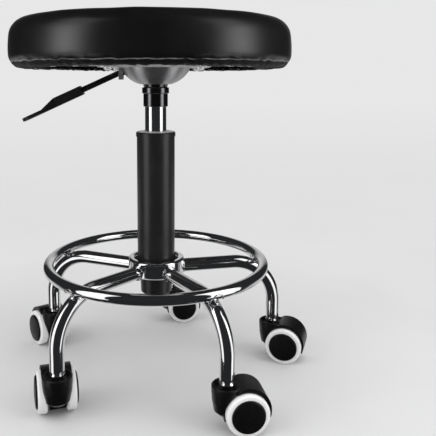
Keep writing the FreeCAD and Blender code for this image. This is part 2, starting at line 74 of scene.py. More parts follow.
class Shader:
    """A material with a Principled shader and short calls for its texture nodes."""

    def __init__(self, name, color, metallic=0.0, roughness=0.5, **sockets):
        self.material = bpy.data.materials.new(name)
        self.material.use_nodes = True
        self.tree = self.material.node_tree
        self.main = self.tree.nodes["Principled BSDF"]
        self.main.inputs["Base Color"].default_value = (*color, 1)
        self.main.inputs["Metallic"].default_value = metallic
        self.main.inputs["Roughness"].default_value = roughness
        for socket, value in sockets.items():
            self.main.inputs[socket.replace("_", " ")].default_value = value
        coords = self.tree.nodes.new("ShaderNodeTexCoord")
        self.place = coords.outputs["Object"]

    def link(self, source, target):
        self.tree.links.new(source, target)

    def stretched(self, scale):
        node = self.tree.nodes.new("ShaderNodeMapping")
        node.inputs["Scale"].default_value = scale
        self.link(self.place, node.inputs["Vector"])
        return node.outputs["Vector"]

    def noise(self, scale, detail=4.0, rough=0.55, vector=None):
        node = self.tree.nodes.new("ShaderNodeTexNoise")
        node.inputs["Scale"].default_value = scale
        node.inputs["Detail"].default_value = detail
        node.inputs["Roughness"].default_value = rough
        self.link(vector or self.place, node.inputs["Vector"])
        return node.outputs["Fac"]

    def cells(self, scale, feature="F1"):
        node = self.tree.nodes.new("ShaderNodeTexVoronoi")
        node.feature = feature
        node.inputs["Scale"].default_value = scale
        self.link(self.place, node.inputs["Vector"])
        return node.outputs["Distance"]

    def wave(self, scale, distortion, direction, vector):
        node = self.tree.nodes.new("ShaderNodeTexWave")
        node.bands_direction = direction
        node.inputs["Scale"].default_value = scale
        node.inputs["Distortion"].default_value = distortion
        node.inputs["Detail"].default_value = 3.0
        self.link(vector, node.inputs["Vector"])
        return node.outputs["Fac"]

    def length(self, vector):
        node = self.tree.nodes.new("ShaderNodeVectorMath")
        node.operation = "LENGTH"
        self.link(vector, node.inputs[0])
        return node.outputs["Value"]

    def spread(self, factor, low, high, from_low=0.3, from_high=0.7):
        """low to high as factor goes from from_low to from_high."""
        node = self.tree.nodes.new("ShaderNodeMapRange")
        node.inputs["From Min"].default_value = from_low
        node.inputs["From Max"].default_value = from_high
        node.inputs["To Min"].default_value = low
        node.inputs["To Max"].default_value = high
        self.link(factor, node.inputs["Value"])
        return node.outputs["Result"]

    def blend(self, factor, first, second):
        return two_colors(self.tree, factor, first, second)

    def total(self, first, second, weight):
        """first + weight * second."""
        node = self.tree.nodes.new("ShaderNodeMath")
        node.operation = "MULTIPLY_ADD"
        node.inputs[1].default_value = weight
        self.link(second, node.inputs[0])
        self.link(first, node.inputs[2])
        return node.outputs["Value"]

    def bump(self, height, depth):
        node = self.tree.nodes.new("ShaderNodeBump")
        node.inputs["Distance"].default_value = depth
        self.link(height, node.inputs["Height"])
        self.link(node.outputs["Normal"], self.main.inputs["Normal"])

    def color_from(self, output):
        self.link(output, self.main.inputs["Base Color"])

    def roughness_from(self, output):
        self.link(output, self.main.inputs["Roughness"])

    def glow(self, color, strength):
        node = self.tree.nodes.new("ShaderNodeEmission")
        node.inputs["Color"].default_value = color
        node.inputs["Strength"].default_value = strength
        return node.outputs["Emission"]

    def mixed(self, factor, first, second):
        node = self.tree.nodes.new("ShaderNodeMixShader")
        self.link(factor, node.inputs["Fac"])
        self.link(first, node.inputs[1])
        self.link(second, node.inputs[2])
        return node.outputs["Shader"]

    def surface_from(self, output):
        self.link(output, self.tree.nodes["Material Output"].inputs["Surface"])


# ---------------------------------------------------------------- materials
def scaled(color, factor):
    return tuple(factor * c for c in color)


def lifted(color, step):
    return tuple(c + step for c in color)


def chrome(name, bright=(0.80, 0.80, 0.81), rough=(0.035, 0.10), scratch_scale=(60, 60, 900)):
    """Bright plate: faint polishing lines, smudges that dull it a little, slightly uneven steel."""
    shader = Shader(name, bright, metallic=1.0, roughness=rough[0])
    smudge = shader.noise(26, detail=6)
    lines = shader.noise(1.0, detail=2, vector=shader.stretched(scratch_scale))
    worn = shader.total(smudge, lines, 0.35)
    uneven = shader.noise(45, detail=1)
    shader.color_from(shader.blend(shader.spread(smudge, 0, 1), bright, scaled(bright, 0.88)))
    shader.roughness_from(shader.spread(worn, *rough, 0.45, 1.0))
    shader.bump(shader.total(uneven, lines, 0.02), 0.12 * MM)
    return shader.material


def gloss_paint(name, color, rough, gloss):
    """Powder coat or sprayed paint: orange peel and settled dust under a hard gloss."""
    shader = Shader(name, color, roughness=rough[0], Specular_IOR_Level=gloss)
    peel = shader.noise(420, detail=2)
    dust = shader.noise(38, detail=8, rough=0.7)
    specks = shader.spread(dust, 0, 1, 0.45, 0.8)
    shader.color_from(shader.blend(specks, color, lifted(color, 0.006)))
    shader.roughness_from(shader.spread(dust, *rough))
    shader.bump(peel, 0.04 * MM)
    return shader.material


def black_chrome(name):
    """Smoked plate on the swivel neck: near black facing dark, pale facing light."""
    smoke = (0.13, 0.13, 0.135)
    shader = Shader(name, smoke, metallic=1.0, roughness=0.12)
    smudge = shader.noise(40, detail=6)
    lines = shader.noise(1.0, detail=2, vector=shader.stretched((60, 60, 1800)))
    worn = shader.total(smudge, lines, 0.4)
    shader.color_from(shader.blend(shader.spread(smudge, 0, 1), smoke, (0.10, 0.10, 0.104)))
    shader.roughness_from(shader.spread(worn, 0.09, 0.20, 0.45, 1.0))
    shader.bump(lines, 0.02 * MM)
    return shader.material


def turned_steel(name):
    """Steel spun on a lathe: fine rings round the axis draw each highlight out along the bell."""
    grey = (0.58, 0.58, 0.59)
    shader = Shader(name, grey, metallic=1.0, roughness=0.46, Anisotropic=0.92)
    shader.main.inputs["Anisotropic Rotation"].default_value = 0.25
    round_axis = shader.tree.nodes.new("ShaderNodeTangent")
    round_axis.direction_type = "RADIAL"
    round_axis.axis = "Z"
    shader.link(round_axis.outputs["Tangent"], shader.main.inputs["Tangent"])
    cloud = shader.noise(30, detail=4)
    rings = shader.noise(1.0, detail=2, vector=shader.stretched((20, 20, 2200)))
    worn = shader.total(cloud, rings, 0.4)
    shader.color_from(shader.blend(shader.spread(cloud, 0, 1), grey, (0.50, 0.50, 0.51)))
    shader.roughness_from(shader.spread(worn, 0.43, 0.50, 0.4, 1.0))
    shader.bump(rings, 0.01 * MM)
    return shader.material


def satin_steel(name, color, rough, metal):
    """Plated pressed steel: a soft grain from drawing under cloudy plating."""
    shader = Shader(name, color, metallic=metal, roughness=rough[0])
    cloud = shader.noise(55, detail=5)
    grain = shader.noise(1.0, detail=3, vector=shader.stretched((900, 900, 120)))
    worn = shader.total(cloud, grain, 0.4)
    shader.color_from(shader.blend(shader.spread(cloud, 0, 1), color, scaled(color, 0.8)))
    shader.roughness_from(shader.spread(worn, *rough, 0.4, 1.0))
    shader.bump(grain, 0.03 * MM)
    return shader.material


def moulded_plastic(name, color, rough=(0.30, 0.42), gloss=0.5):
    """Nylon from a fine-spark tool: tiny grain, flow marks and light scuffs."""
    shader = Shader(name, color, roughness=rough[0], Specular_IOR_Level=gloss)
    grain = shader.noise(1500, detail=2)
    flow = shader.noise(70, detail=5, rough=0.6)
    scuff = shader.noise(1.0, detail=6, rough=0.7, vector=shader.stretched((240, 60, 240)))
    scuffed = shader.spread(scuff, 0, 1, 0.5, 0.8)
    shader.color_from(shader.blend(scuffed, color, lifted(color, 0.007)))
    shader.roughness_from(shader.spread(flow, *rough))
    shader.bump(shader.total(flow, grain, 0.5), 0.04 * MM)
    return shader.material


def tyre_material(name):
    """Cast white polyurethane with a matt tread, faint grey scuffs and pin-head pits."""
    shader = Shader(name, (0.80, 0.80, 0.79), roughness=0.42, Subsurface_Weight=0.08)
    shader.main.inputs["Subsurface Radius"].default_value = (0.002, 0.002, 0.002)
    scuff = shader.noise(150, detail=8, rough=0.75)
    cloud = shader.noise(35, detail=3)
    tone = shader.blend(shader.spread(cloud, 0, 1), (0.90, 0.90, 0.89), (0.82, 0.82, 0.81))
    scuffed = shader.spread(scuff, 0, 0.7, 0.62, 0.85)
    shader.color_from(shader.blend(scuffed, tone, (0.55, 0.55, 0.54)))
    shader.roughness_from(shader.spread(scuff, 0.34, 0.55))
    shader.bump(shader.total(scuff, shader.cells(900), 0.4), 0.06 * MM)
    return shader.material


def vinyl(name, rough=(0.29, 0.35), gloss=0.5):
    """Upholstery vinyl: leather-like grain of small cells, soft sheen, handling marks."""
    shader = Shader(name, (0.008, 0.008, 0.0085), roughness=rough[0], Specular_IOR_Level=gloss)
    grain = shader.total(shader.cells(780, feature="SMOOTH_F1"), shader.noise(2200, detail=2), 0.25)
    marks = shader.noise(14, detail=6, rough=0.6)
    dark, pale = (0.0020, 0.0020, 0.0021), (0.0056, 0.0056, 0.0058)
    shader.color_from(shader.blend(shader.spread(marks, 0, 1), dark, pale))
    shader.roughness_from(shader.spread(marks, *rough))
    shader.bump(shader.total(grain, shader.noise(60, detail=3), 0.8), 0.05 * MM)
    return shader.material


def crease_vinyl_painted_highlight(name):
    """The same vinyl pulled hard round the board: shiny, with broken pale streaks that are a
    painted highlight along the crease.
    """
    shader = Shader(name, (0.02, 0.02, 0.02), roughness=0.25, Specular_IOR_Level=0.8)
    stress_breaks_and_painted_highlight = shader.noise(55, detail=7, rough=0.7)
    grain = shader.cells(780, feature="SMOOTH_F1")
    # pale is a painted highlight: the light line where the folded vinyl catches light along the
    # crease
    dark, pale = (0.012, 0.012, 0.012), (0.17, 0.17, 0.17)
    shader.color_from(shader.blend(shader.spread(stress_breaks_and_painted_highlight, 0, 1, 0.40, 0.62), dark, pale))
    shader.roughness_from(shader.spread(stress_breaks_and_painted_highlight, 0.22, 0.36))
    shader.bump(shader.total(grain, stress_breaks_and_painted_highlight, 0.8), 0.06 * MM)
    return shader.material


def cloth_black(name):
    """Thin non-woven dust cover: matted fibres with tiny open spots."""
    shader = Shader(name, (0.012, 0.012, 0.012), roughness=0.95)
    fibres = shader.noise(900, detail=6, rough=0.8)
    dots = shader.cells(420)
    dark, pale = (0.008, 0.008, 0.008), (0.035, 0.035, 0.036)
    shader.color_from(shader.blend(shader.spread(fibres, 0, 1), dark, pale))
    shader.bump(shader.total(fibres, dots, 0.6), 0.15 * MM)
    return shader.material


def wood(name):
    """Raw plywood: long grain bands and fine pores."""
    shader = Shader(name, (0.6, 0.44, 0.27), roughness=0.7)
    bands = shader.wave(22, 6.0, "Y", shader.stretched((1, 6, 40)))
    pores = shader.noise(1.0, detail=6, vector=shader.stretched((60, 900, 900)))
    shader.color_from(shader.blend(bands, (0.64, 0.47, 0.29), (0.48, 0.33, 0.19)))
    shader.bump(pores, 0.1 * MM)
    return shader.material


LEVER_BLACK = (0.004, 0.004, 0.004)
CAP_BLACK = (0.003, 0.003, 0.003)
MATERIALS = {
    "chrome": chrome("chrome_plate"),
    "stem_chrome": chrome("chrome_stem", bright=(0.78, 0.78, 0.79), rough=(0.06, 0.14)),
    "cylinder_chrome": chrome("chrome_cylinder", rough=(0.05, 0.12), scratch_scale=(40, 40, 2600)),
    "column_black": gloss_paint("black_powder_coat", (0.012, 0.012, 0.0125), (0.29, 0.37), 0.5),
    "neck_black": black_chrome("black_neck_chrome"),
    "bell_steel": turned_steel("satin_bell_steel"),
    "zinc_steel": satin_steel("zinc_plate", (0.88, 0.88, 0.89), (0.14, 0.24), 0.35),
    "lever_black": gloss_paint("black_lever_paint", LEVER_BLACK, (0.26, 0.38), 0.3),
    "grip_plastic": moulded_plastic("black_grip_plastic", LEVER_BLACK, (0.38, 0.5), 0.35),
    "pale_plastic": moulded_plastic("pale_acetal", (0.72, 0.72, 0.70)),
    "grey_plastic": moulded_plastic("grey_nylon", (0.22, 0.22, 0.23)),
    "caster_plastic": moulded_plastic("black_caster_nylon", (0.003, 0.003, 0.0032), gloss=0.35),
    "hub_cap_plastic": moulded_plastic("black_cap_nylon", CAP_BLACK, (0.36, 0.48), 0.3),
    "tyre_white": tyre_material("white_polyurethane"),
    "vinyl_black": vinyl("black_vinyl"),
    # the crease vinyl carries pale streaks of painted highlight
    "vinyl_crease": crease_vinyl_painted_highlight("black_vinyl_crease_painted_highlight"),
    "vinyl_under": vinyl("black_vinyl_gathered", rough=(0.50, 0.70), gloss=0.22),
    "dust_fabric": cloth_black("black_dust_cloth"),
    "plywood": wood("raw_plywood"),
}


def dress_frame():
    """Give every CAD node the finished material of its slot."""
    slots = {entry["node"]: entry["material_slot"] for entry in frame["record"]["subparts"]}
    for name, obj in NODES.items():
        obj.data.materials.clear()
        obj.data.materials.append(MATERIALS[slots[name]])


def placed(name, data):
    """A new object in the scene."""
    thing = bpy.data.objects.new(name, data)
    bpy.context.scene.collection.objects.link(thing)
    return thing


def new_piece(name, mesh, body, slot):
    """A visible piece that moves with one body."""
    piece = placed(name, mesh)
    mesh.materials.clear()
    mesh.materials.append(MATERIALS[slot])
    mesh.polygons.foreach_set("use_smooth", [True] * len(mesh.polygons))
    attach(piece, body)
    return piece


# ---------------------------------------------------------------- small mesh tools
def stitched(upper, lower):
    """Faces between two closed rings of point numbers: equal counts, or one twice the other."""
    n, m = len(upper), len(lower)
    faces = []
    for i in range(min(n, m)):
        if n == m:
            j = (i + 1) % n
            faces.append((upper[i], upper[j], lower[j], lower[i]))
        elif n > m:
            a, b, c = upper[2 * i], upper[2 * i + 1], upper[(2 * i + 2) % n]
            d, e = lower[i], lower[(i + 1) % m]
            faces += [(a, b, d), (b, e, d), (b, c, e)]
        else:
            a, b, c = lower[2 * i], lower[2 * i + 1], lower[(2 * i + 2) % m]
            d, e = upper[i], upper[(i + 1) % n]
            faces += [(d, b, a), (d, e, b), (e, c, b)]
    return faces


def ring_mesh(name, rings, first_cap=True, last_cap=True):
    """A skin over closed rings of points, its two ends closed with a fan."""
    points, numbers = [], []
    for ring in rings:
        numbers.append(list(range(len(points), len(points) + len(ring))))
        points += [tuple(point) for point in ring]
    faces = []
    for upper, lower in zip(numbers, numbers[1:]):
        faces += stitched(upper, lower)
    for wanted, ring, turn in ((first_cap, numbers[0], 1), (last_cap, numbers[-1], -1)):
        if wanted:
            middle = len(points)
            points.append(tuple(np.mean([points[i] for i in ring], axis=0)))
            faces += [(b, a, middle)[::turn] for a, b in zip(ring, ring[1:] + ring[:1])]
    mesh = bpy.data.meshes.new(name)
    mesh.from_pydata(points, [], faces)
    return mesh


def swept_tube(path, radius, sides, loop=False):
    """Rings of points round a path. radius is one number, or one for each point."""
    path = np.asarray(path, dtype=float)
    radii = [float(r) for r in np.broadcast_to(radius, len(path))]
    ahead = np.roll(path, -1, axis=0) - np.roll(path, 1, axis=0)
    if not loop:
        ahead[0] = path[1] - path[0]
        ahead[-1] = path[-1] - path[-2]
    turns = [2 * math.pi * i / sides for i in range(sides)]
    rings = []
    across = Vector((0.31, 0.17, 0.93))
    for point, way, reach in zip(path.tolist(), ahead.tolist(), radii):
        way = Vector(way).normalized()
        across = (across - way * across.dot(way)).normalized()
        other = way.cross(across)
        spokes = [math.cos(t) * across + math.sin(t) * other for t in turns]
        rings.append([Vector(point) + reach * spoke for spoke in spokes])
    return rings


def joined(name, meshes):
    """One mesh from several."""
    points, faces = [], []
    for mesh in meshes:
        first = len(points)
        points += [v.co[:] for v in mesh.vertices]
        faces += [[first + i for i in polygon.vertices] for polygon in mesh.polygons]
        bpy.data.meshes.remove(mesh)
    whole = bpy.data.meshes.new(name)
    whole.from_pydata(points, [], faces)
    return whole


def applied(piece):
    """Bake the piece's modifiers into its mesh."""
    graph = bpy.context.evaluated_depsgraph_get()
    mesh = bpy.data.meshes.new_from_object(piece.evaluated_get(graph))
    piece.modifiers.clear()
    old = piece.data
    piece.data = mesh
    bpy.data.meshes.remove(old)


def coords_of(mesh):
    flat = np.empty(3 * len(mesh.vertices), dtype=np.float32)
    mesh.vertices.foreach_get("co", flat)
    return flat.reshape(-1, 3).astype(float)


def set_coords(mesh, points):
    mesh.vertices.foreach_set("co", points.ravel().astype(np.float32))
    mesh.update()


# ---------------------------------------------------------------- seat
SEAT_LOW, SEAT_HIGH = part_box("seat_cushion")
BOARD_LOW, BOARD_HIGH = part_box("seat_board")
SEAT_MID = (SEAT_LOW + SEAT_HIGH) / 2
BOARD_R = (BOARD_HIGH.x - BOARD_LOW.x) / 2
DUST_LOW, DUST_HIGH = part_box("dust_cover")
DUST_R = (DUST_HIGH.x - DUST_LOW.x) / 2
AROUND = 320  # points in a full ring of the skin; inside AROUND_R the rings halve towards the axis
AROUND_R = 150 * MM
PROFILE_RAYS = 900
PROFILE_POINTS = 62
CORNER_BULGE = 5 * MM  # the folded lower corner stands out past the plain cushion's
CORNER_HEIGHT = 6 * MM
SLACK = 2.6 * MM  # the cloth starts this much inside its outline
CLOTH_FRAMES = 20
TRAVEL_CAP = 4 * MM
SWELL_WAVES = 25  # waves round a ring that are kept of the cloth's swells, and their share
SWELL_KEPT = 0.16
WALL_FROM = 7.4 * MM  # above SEAT_LOW: plain vinyl over this, stressed vinyl with a painted highlight down to CREASE_FROM
CREASE_FROM = 5.6 * MM
LINING_GAP = 0.6 * MM
LINING_RADII = (152, 120, 74, 50, 36, 24, 17, 9, 4)  # mm, over the board
PLEAT_COUNT = 47


def drawn_pleat(number):
    """(angle, depth 0 to 1, half width) of one pleat."""
    angle = 2 * math.pi * (number + random.uniform(-0.36, 0.36)) / PLEAT_COUNT
    return angle, random.uniform(0.35, 1.0), random.uniform(2.2, 5.0) * MM


PLEATS = [drawn_pleat(number) for number in range(PLEAT_COUNT)]


def outline():
    """(radius, height) down the pad's outer face, evenly spaced from crown to lower corner."""
    tree = BVHTree.FromObject(NODES["seat_cushion"], bpy.context.evaluated_depsgraph_get())
    upright = math.pi / 2
    corner = math.atan2(SEAT_LOW.z - SEAT_MID.z, BOARD_R)
    found = []
    for step in range(PROFILE_RAYS):
        tilt = upright + (corner - upright) * step / (PROFILE_RAYS - 1)
        away = Vector((math.cos(tilt), 0, math.sin(tilt)))
        spot = tree.ray_cast(SEAT_MID + 0.5 * away, -away)[0]
        found.append((spot.x - SEAT_MID.x, spot.z))
    found = np.array(found)
    steps = np.linalg.norm(np.diff(found, axis=0), axis=1)
    length = np.concatenate([[0], np.cumsum(steps)])
    even = np.linspace(4 * MM, length[-1], PROFILE_POINTS)
    return np.column_stack([np.interp(even, length, found[:, k]) for k in (0, 1)])


def turned(profile):
    """Rings of points: a (radius, height) profile turned about the seat's axis, fewer near it."""
    rings = []
    for radius, height in profile:
        halvings = sum(radius < AROUND_R / 2**k for k in range(1, 5))
        count = AROUND // 2**halvings
        turns = 2 * np.pi * np.arange(count) / count
        x = SEAT_MID.x + radius * np.cos(turns)
        y = SEAT_MID.y + radius * np.sin(turns)
        rings.append(np.column_stack([x, y, np.full(count, height)]))
    return rings


def gathered(turns):
    """0 to about 1 at each angle: how deep the cover is drawn in there by its pleats."""
    depth = np.zeros_like(turns)
    for angle, deep, width in PLEATS:
        apart = np.abs((turns - angle + np.pi) % (2 * np.pi) - np.pi) * BOARD_R
        depth = np.maximum(depth, deep * np.exp(-((apart / width) ** 2)))
    return depth


def ripple(turns, seed, waves, low, high):
    """A seeded sum of waves round the seat, about -1 to 1."""
    picker = np.random.default_rng(seed)
    total = np.zeros_like(turns)
    for _ in range(waves):
        total += np.sin(picker.integers(low, high) * turns + picker.uniform(0, 2 * np.pi))
    return total / math.sqrt(waves)


def inflated(pad, counts, full):
    """Cloth under inner pressure, tacked at its pleats, each point's travel capped.

    counts gives the points in each ring of the skin and full their places on the true outline.
    Each ring keeps its mean there, and the cloth adds its broad swells between the tacks.
    """
    start = coords_of(pad.data)
    turns = np.arctan2(start[:, 1] - SEAT_MID.y, start[:, 0] - SEAT_MID.x)
    reach = np.hypot(start[:, 1] - SEAT_MID.y, start[:, 0] - SEAT_MID.x)
    under = start[:, 2] < SEAT_LOW.z + 5 * MM
    inner = (start[:, 2] < BOARD_HIGH.z + 2 * MM) & (reach < BOARD_R + 2 * MM)
    tacked = (start[:, 2] < SEAT_LOW.z + 9 * MM) & (gathered(turns) > 0.3)
    held = pad.vertex_groups.new(name="held")
    held.add([int(i) for i in np.nonzero(under | inner | tacked)[0]], 1.0, "REPLACE")
    cloth = pad.modifiers.new("cloth", "CLOTH")
    settings = cloth.settings
    settings.quality = 6
    settings.mass = 0.35
    settings.tension_stiffness = 25
    settings.compression_stiffness = 25
    settings.bending_stiffness = 1.5
    settings.use_pressure = True
    settings.uniform_pressure_force = 4.0
    settings.vertex_group_mass = "held"
    settings.effector_weights.gravity = 0.0
    cloth.collision_settings.use_collision = False
    scene = bpy.context.scene
    for step in range(1, CLOTH_FRAMES + 1):
        scene.frame_set(step)
    graph = bpy.context.evaluated_depsgraph_get()
    moved = coords_of(pad.evaluated_get(graph).data) - start
    length = np.linalg.norm(moved, axis=1, keepdims=True)
    moved *= np.minimum(1.0, TRAVEL_CAP / np.maximum(length, TINY))
    outward = moved[:, 0] * np.cos(turns) + moved[:, 1] * np.sin(turns)
    swell = np.zeros((len(start), 2))
    first = 0
    for count in counts:
        ring = slice(first, first + count)
        for column, values in enumerate((outward[ring], moved[ring, 2])):
            waves = np.fft.rfft(values)
            waves[0] = 0
            waves[SWELL_WAVES + 1 :] = 0
            swell[ring, column] = SWELL_KEPT * np.fft.irfft(waves, count)
        first += count
    pad.modifiers.remove(cloth)
    pad.vertex_groups.clear()
    sideways, upward = swell.T
    moved = np.column_stack([sideways * np.cos(turns), sideways * np.sin(turns), upward])
    set_coords(pad.data, full + moved)
    scene.frame_set(1)


def pleated(pad):
    """Draw the cover in at each pleat, wander the crease and ruck the part under the board."""
    points = coords_of(pad.data)
    x = points[:, 0] - SEAT_MID.x
    y = points[:, 1] - SEAT_MID.y
    z = points[:, 2]
    turns = np.arctan2(y, x)
    reach = np.hypot(x, y)
    pull = gathered(turns)
    outside = reach > DUST_R - 2 * MM
    lower = outside & (z < BOARD_LOW.z + 0.2 * MM)
    wall = outside & ~lower & (reach > BOARD_R + 2 * MM)

    # the wall near its lower crease
    drop = np.clip((SEAT_LOW.z + 15 * MM - z) / (9 * MM), 0, 1) ** 2
    inward = drop * (1.1 * pull + 0.3 * ripple(turns, 3, 5, 9, 60)) * MM
    lift = drop * (0.7 * pull + 0.5 * ripple(turns, 5, 6, 12, 70)) * MM

    # the part under the board: rucks, and a sag that is deepest at the back
    back = 0.5 + 0.5 * np.sin(turns)
    tuck = np.clip((BOARD_R + 12 * MM - reach) / (14 * MM), 0, 1)
    fine = 0.35 * ripple(turns + 2.5 * reach, 11, 9, 60, 190)
    rucks = 1.3 * pull + 0.8 * ripple(turns, 17, 7, 30, 110) + fine
    sag = tuck * (rucks * (0.7 + 0.8 * back) + 1.1 - 3.2 * back) * MM
    deepest = SEAT_LOW.z + (0.2 - 4.2 * back) * MM
    under = np.clip(z + sag, deepest, BOARD_LOW.z - 0.2 * MM)

    # its ragged inner edge
    edge = np.clip((DUST_R + 9 * MM - reach) / (9 * MM), 0, 1)
    ragged = edge * 2.6 * ripple(turns, 23, 8, 25, 140) * MM

    height = np.where(lower, under, np.where(wall, z + lift, z))
    radius = reach + np.where(lower, ragged, 0) - np.where(wall, inward, 0)
    scale = radius / np.maximum(reach, TINY)
    moved = np.column_stack([SEAT_MID.x + x * scale, SEAT_MID.y + y * scale, height])
    set_coords(pad.data, moved)


def shade_by_height(mesh):
    """Plain vinyl on the wall, stressed vinyl with a painted highlight along the crease, matt vinyl
    under the seat.
    """
    mesh.materials.clear()
    for name in ("vinyl_black", "vinyl_crease", "vinyl_under"):
        mesh.materials.append(MATERIALS[name])
    heights = np.array([polygon.center.z - SEAT_LOW.z for polygon in mesh.polygons])
    kinds = np.where(heights > WALL_FROM, 0, np.where(heights > CREASE_FROM, 1, 2))
    mesh.polygons.foreach_set("material_index", kinds.astype(np.int32))
    mesh.polygons.foreach_set("use_smooth", [True] * len(mesh.polygons))


def build_seat():
    """Foam pad in one vinyl cover, turned under the board and gathered there in pleats."""
    skin = outline()
    above = skin[:, 1] - SEAT_LOW.z
    skin[:, 0] += CORNER_BULGE * np.clip(1 - above / CORNER_HEIGHT, 0, 1) ** 0.7
    along = np.gradient(skin, axis=0)
    out = np.column_stack([-along[:, 1], along[:, 0]])
    out /= np.linalg.norm(out, axis=1, keepdims=True)
    ease = np.clip((above - 4 * MM) / (10 * MM), 0, 1)[:, None]
    shrunk = skin - out * SLACK * ease
    wrap_radii = np.linspace(BOARD_R - 2 * MM, DUST_R + 1 * MM, 13)
    wrap = [(radius, SEAT_LOW.z - 0.4 * MM) for radius in wrap_radii]
    lining = [
        (DUST_R + 1.2 * MM, SEAT_LOW.z + 0.9 * MM),
        (DUST_R + 3 * MM, BOARD_LOW.z - LINING_GAP),
        (DUST_R + 12 * MM, BOARD_LOW.z - 0.5 * MM),
        (BOARD_R + LINING_GAP, BOARD_LOW.z - 0.5 * MM),
        (BOARD_R + LINING_GAP, BOARD_HIGH.z + LINING_GAP),
    ]
    lining += [(radius * MM, BOARD_HIGH.z + LINING_GAP) for radius in LINING_RADII]
    rings = turned(list(shrunk) + wrap + lining)[::-1]
    mesh = ring_mesh("seat_pad", rings)
    pad = new_piece("seat_pad", mesh, "seat", "vinyl_black")
    outline_mesh = ring_mesh("outline", turned(list(skin) + wrap + lining)[::-1])
    full = coords_of(outline_mesh)
    bpy.data.meshes.remove(outline_mesh)
    inflated(pad, [len(ring) for ring in rings], full)
    pad.modifiers.new("smooth", "SUBSURF").levels = 1
    applied(pad)
    shade_by_height(pad.data)
    pleated(pad)
    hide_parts("seat_cushion")


STAPLE_SEED = 31
STAPLE_WIRE_R = 0.35 * MM
STAPLE_SINK = 0.2 * MM
STAPLE_ROUTE = [  # mm along the crown and up into the board
    (-5.0, 3.0),
    (-5.0, 0.5),
    (-4.6, 0.08),
    (-4.0, 0),
    (4.0, 0),
    (4.6, 0.08),
    (5.0, 0.5),
    (5.0, 3.0),
]


def build_staples():
    """Wire staples through the gathered cover into the board, one or two to a pleat."""
    graph = bpy.context.evaluated_depsgraph_get()
    cover = BVHTree.FromObject(bpy.data.objects["seat_pad"], graph)
    up = Vector((0, 0, 1))
    shapes = []
    picker = np.random.default_rng(STAPLE_SEED)
    for angle, deep, _ in PLEATS:
        for shift in (0.0, 0.055)[: 2 if deep > 0.6 else 1]:
            turn = angle + shift + picker.uniform(-0.01, 0.01)
            radius = DUST_R + picker.uniform(8, 13) * MM
            twist = turn + math.pi / 2 + picker.uniform(-0.35, 0.35)
            middle = Vector((SEAT_MID.x, SEAT_MID.y, 0))
            middle += radius * Vector((math.cos(turn), math.sin(turn), 0))
            along = Vector((math.cos(twist), math.sin(twist), 0))
            spots = [middle + along * (s * MM) for s in (-4, 0, 4)]
            heights = [cover.ray_cast(spot, up)[0].z for spot in spots]
            crown = sorted(heights)[1] - STAPLE_SINK
            path = [middle + along * (s * MM) + up * (crown + h * MM) for s, h in STAPLE_ROUTE]
            shapes.append(ring_mesh("staple", swept_tube(path, STAPLE_WIRE_R, sides=6)))
    new_piece("seat_staples", joined("seat_staples", shapes), "seat", "zinc_steel")


# ---------------------------------------------------------------- welds
HUB_BEAD_R = 1.0 * MM
RING_BEAD_R = 0.85 * MM
HUB_BEAD_POINTS = 72
RING_BEAD_POINTS = 40  # on each side of the foot ring
NEAR_HUB = 90 * MM  # a leg is still straight this close to the column


def leg_frame(number):
    """The leg's outward direction, and its axis height and radius where it leaves the hub."""
    low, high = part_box(f"stem_{number}")
    middle = (low + high) / 2
    out = Vector((middle.x, middle.y, 0)).normalized()
    points = coords_of(NODES[f"leg_{number}"].data)
    near = points[np.hypot(points[:, 0], points[:, 1]) < NEAR_HUB]
    bottom, top = near[:, 2].min(), near[:, 2].max()
    return out, (bottom + top) / 2, (top - bottom) / 2


def bead(name, path, radius, seed):
    """A weld bead along a closed path, rippled where each puddle froze."""
    picker = np.random.default_rng(seed)
    steps = np.arange(len(path))
    puddles = np.abs(np.sin(steps * math.pi / 5 + picker.uniform(0, 3)))
    radii = radius * (0.90 + 0.14 * puddles + 0.05 * picker.uniform(-1, 1, len(path)))
    rings = swept_tube(path, radii, sides=10, loop=True)
    return ring_mesh(name, rings + rings[:1], first_cap=False, last_cap=False)


def build_welds():
    """Beads where each leg enters the hub and where the foot ring sits on each leg."""
    hub_low, hub_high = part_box("hub")
    hub_r = (hub_high.x - hub_low.x) / 2
    ring_low, ring_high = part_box("foot_ring")
    tube_r = (ring_high.z - ring_low.z) / 2
    ring_r = (ring_high.x - ring_low.x) / 2 - tube_r
    ring_z = (ring_high.z + ring_low.z) / 2
    for number in CASTERS:
        out, height, leg_r = leg_frame(number)
        side = Vector((-out.y, out.x, 0))

        def place(along, across, up):
            return out * along + side * across + Vector((0, 0, up))

        at_hub = []
        seam_r = leg_r + 0.3 * MM
        for i in range(HUB_BEAD_POINTS):
            t = 2 * math.pi * i / HUB_BEAD_POINTS
            across = seam_r * math.cos(t)
            along = math.sqrt(hub_r**2 - across**2) + 0.2 * MM
            at_hub.append(place(along, across, height + seam_r * math.sin(t)))
        at_ring = []
        lowest = (ring_z - tube_r - height) / leg_r
        limit = math.acos(max(-1.0, min(1.0, lowest))) - 0.02
        for half in (1, -1):
            for i in range(RING_BEAD_POINTS):
                t = half * limit * (2 * (i + 0.5) / RING_BEAD_POINTS - 1)
                across = leg_r * math.sin(t)
                up = height + leg_r * math.cos(t)
                off = half * math.sqrt(max(tube_r**2 - (up - ring_z) ** 2, 0))
                at_ring.append(place(math.sqrt((ring_r + off) ** 2 - across**2), across, up))
        hub_bead = bead("bead", at_hub, HUB_BEAD_R, number)
        ring_bead = bead("bead", at_ring, RING_BEAD_R, 10 + number)
        welds = joined("leg_welds", [hub_bead, ring_bead])
        new_piece(f"leg_welds_{number}", welds, "base", "chrome")


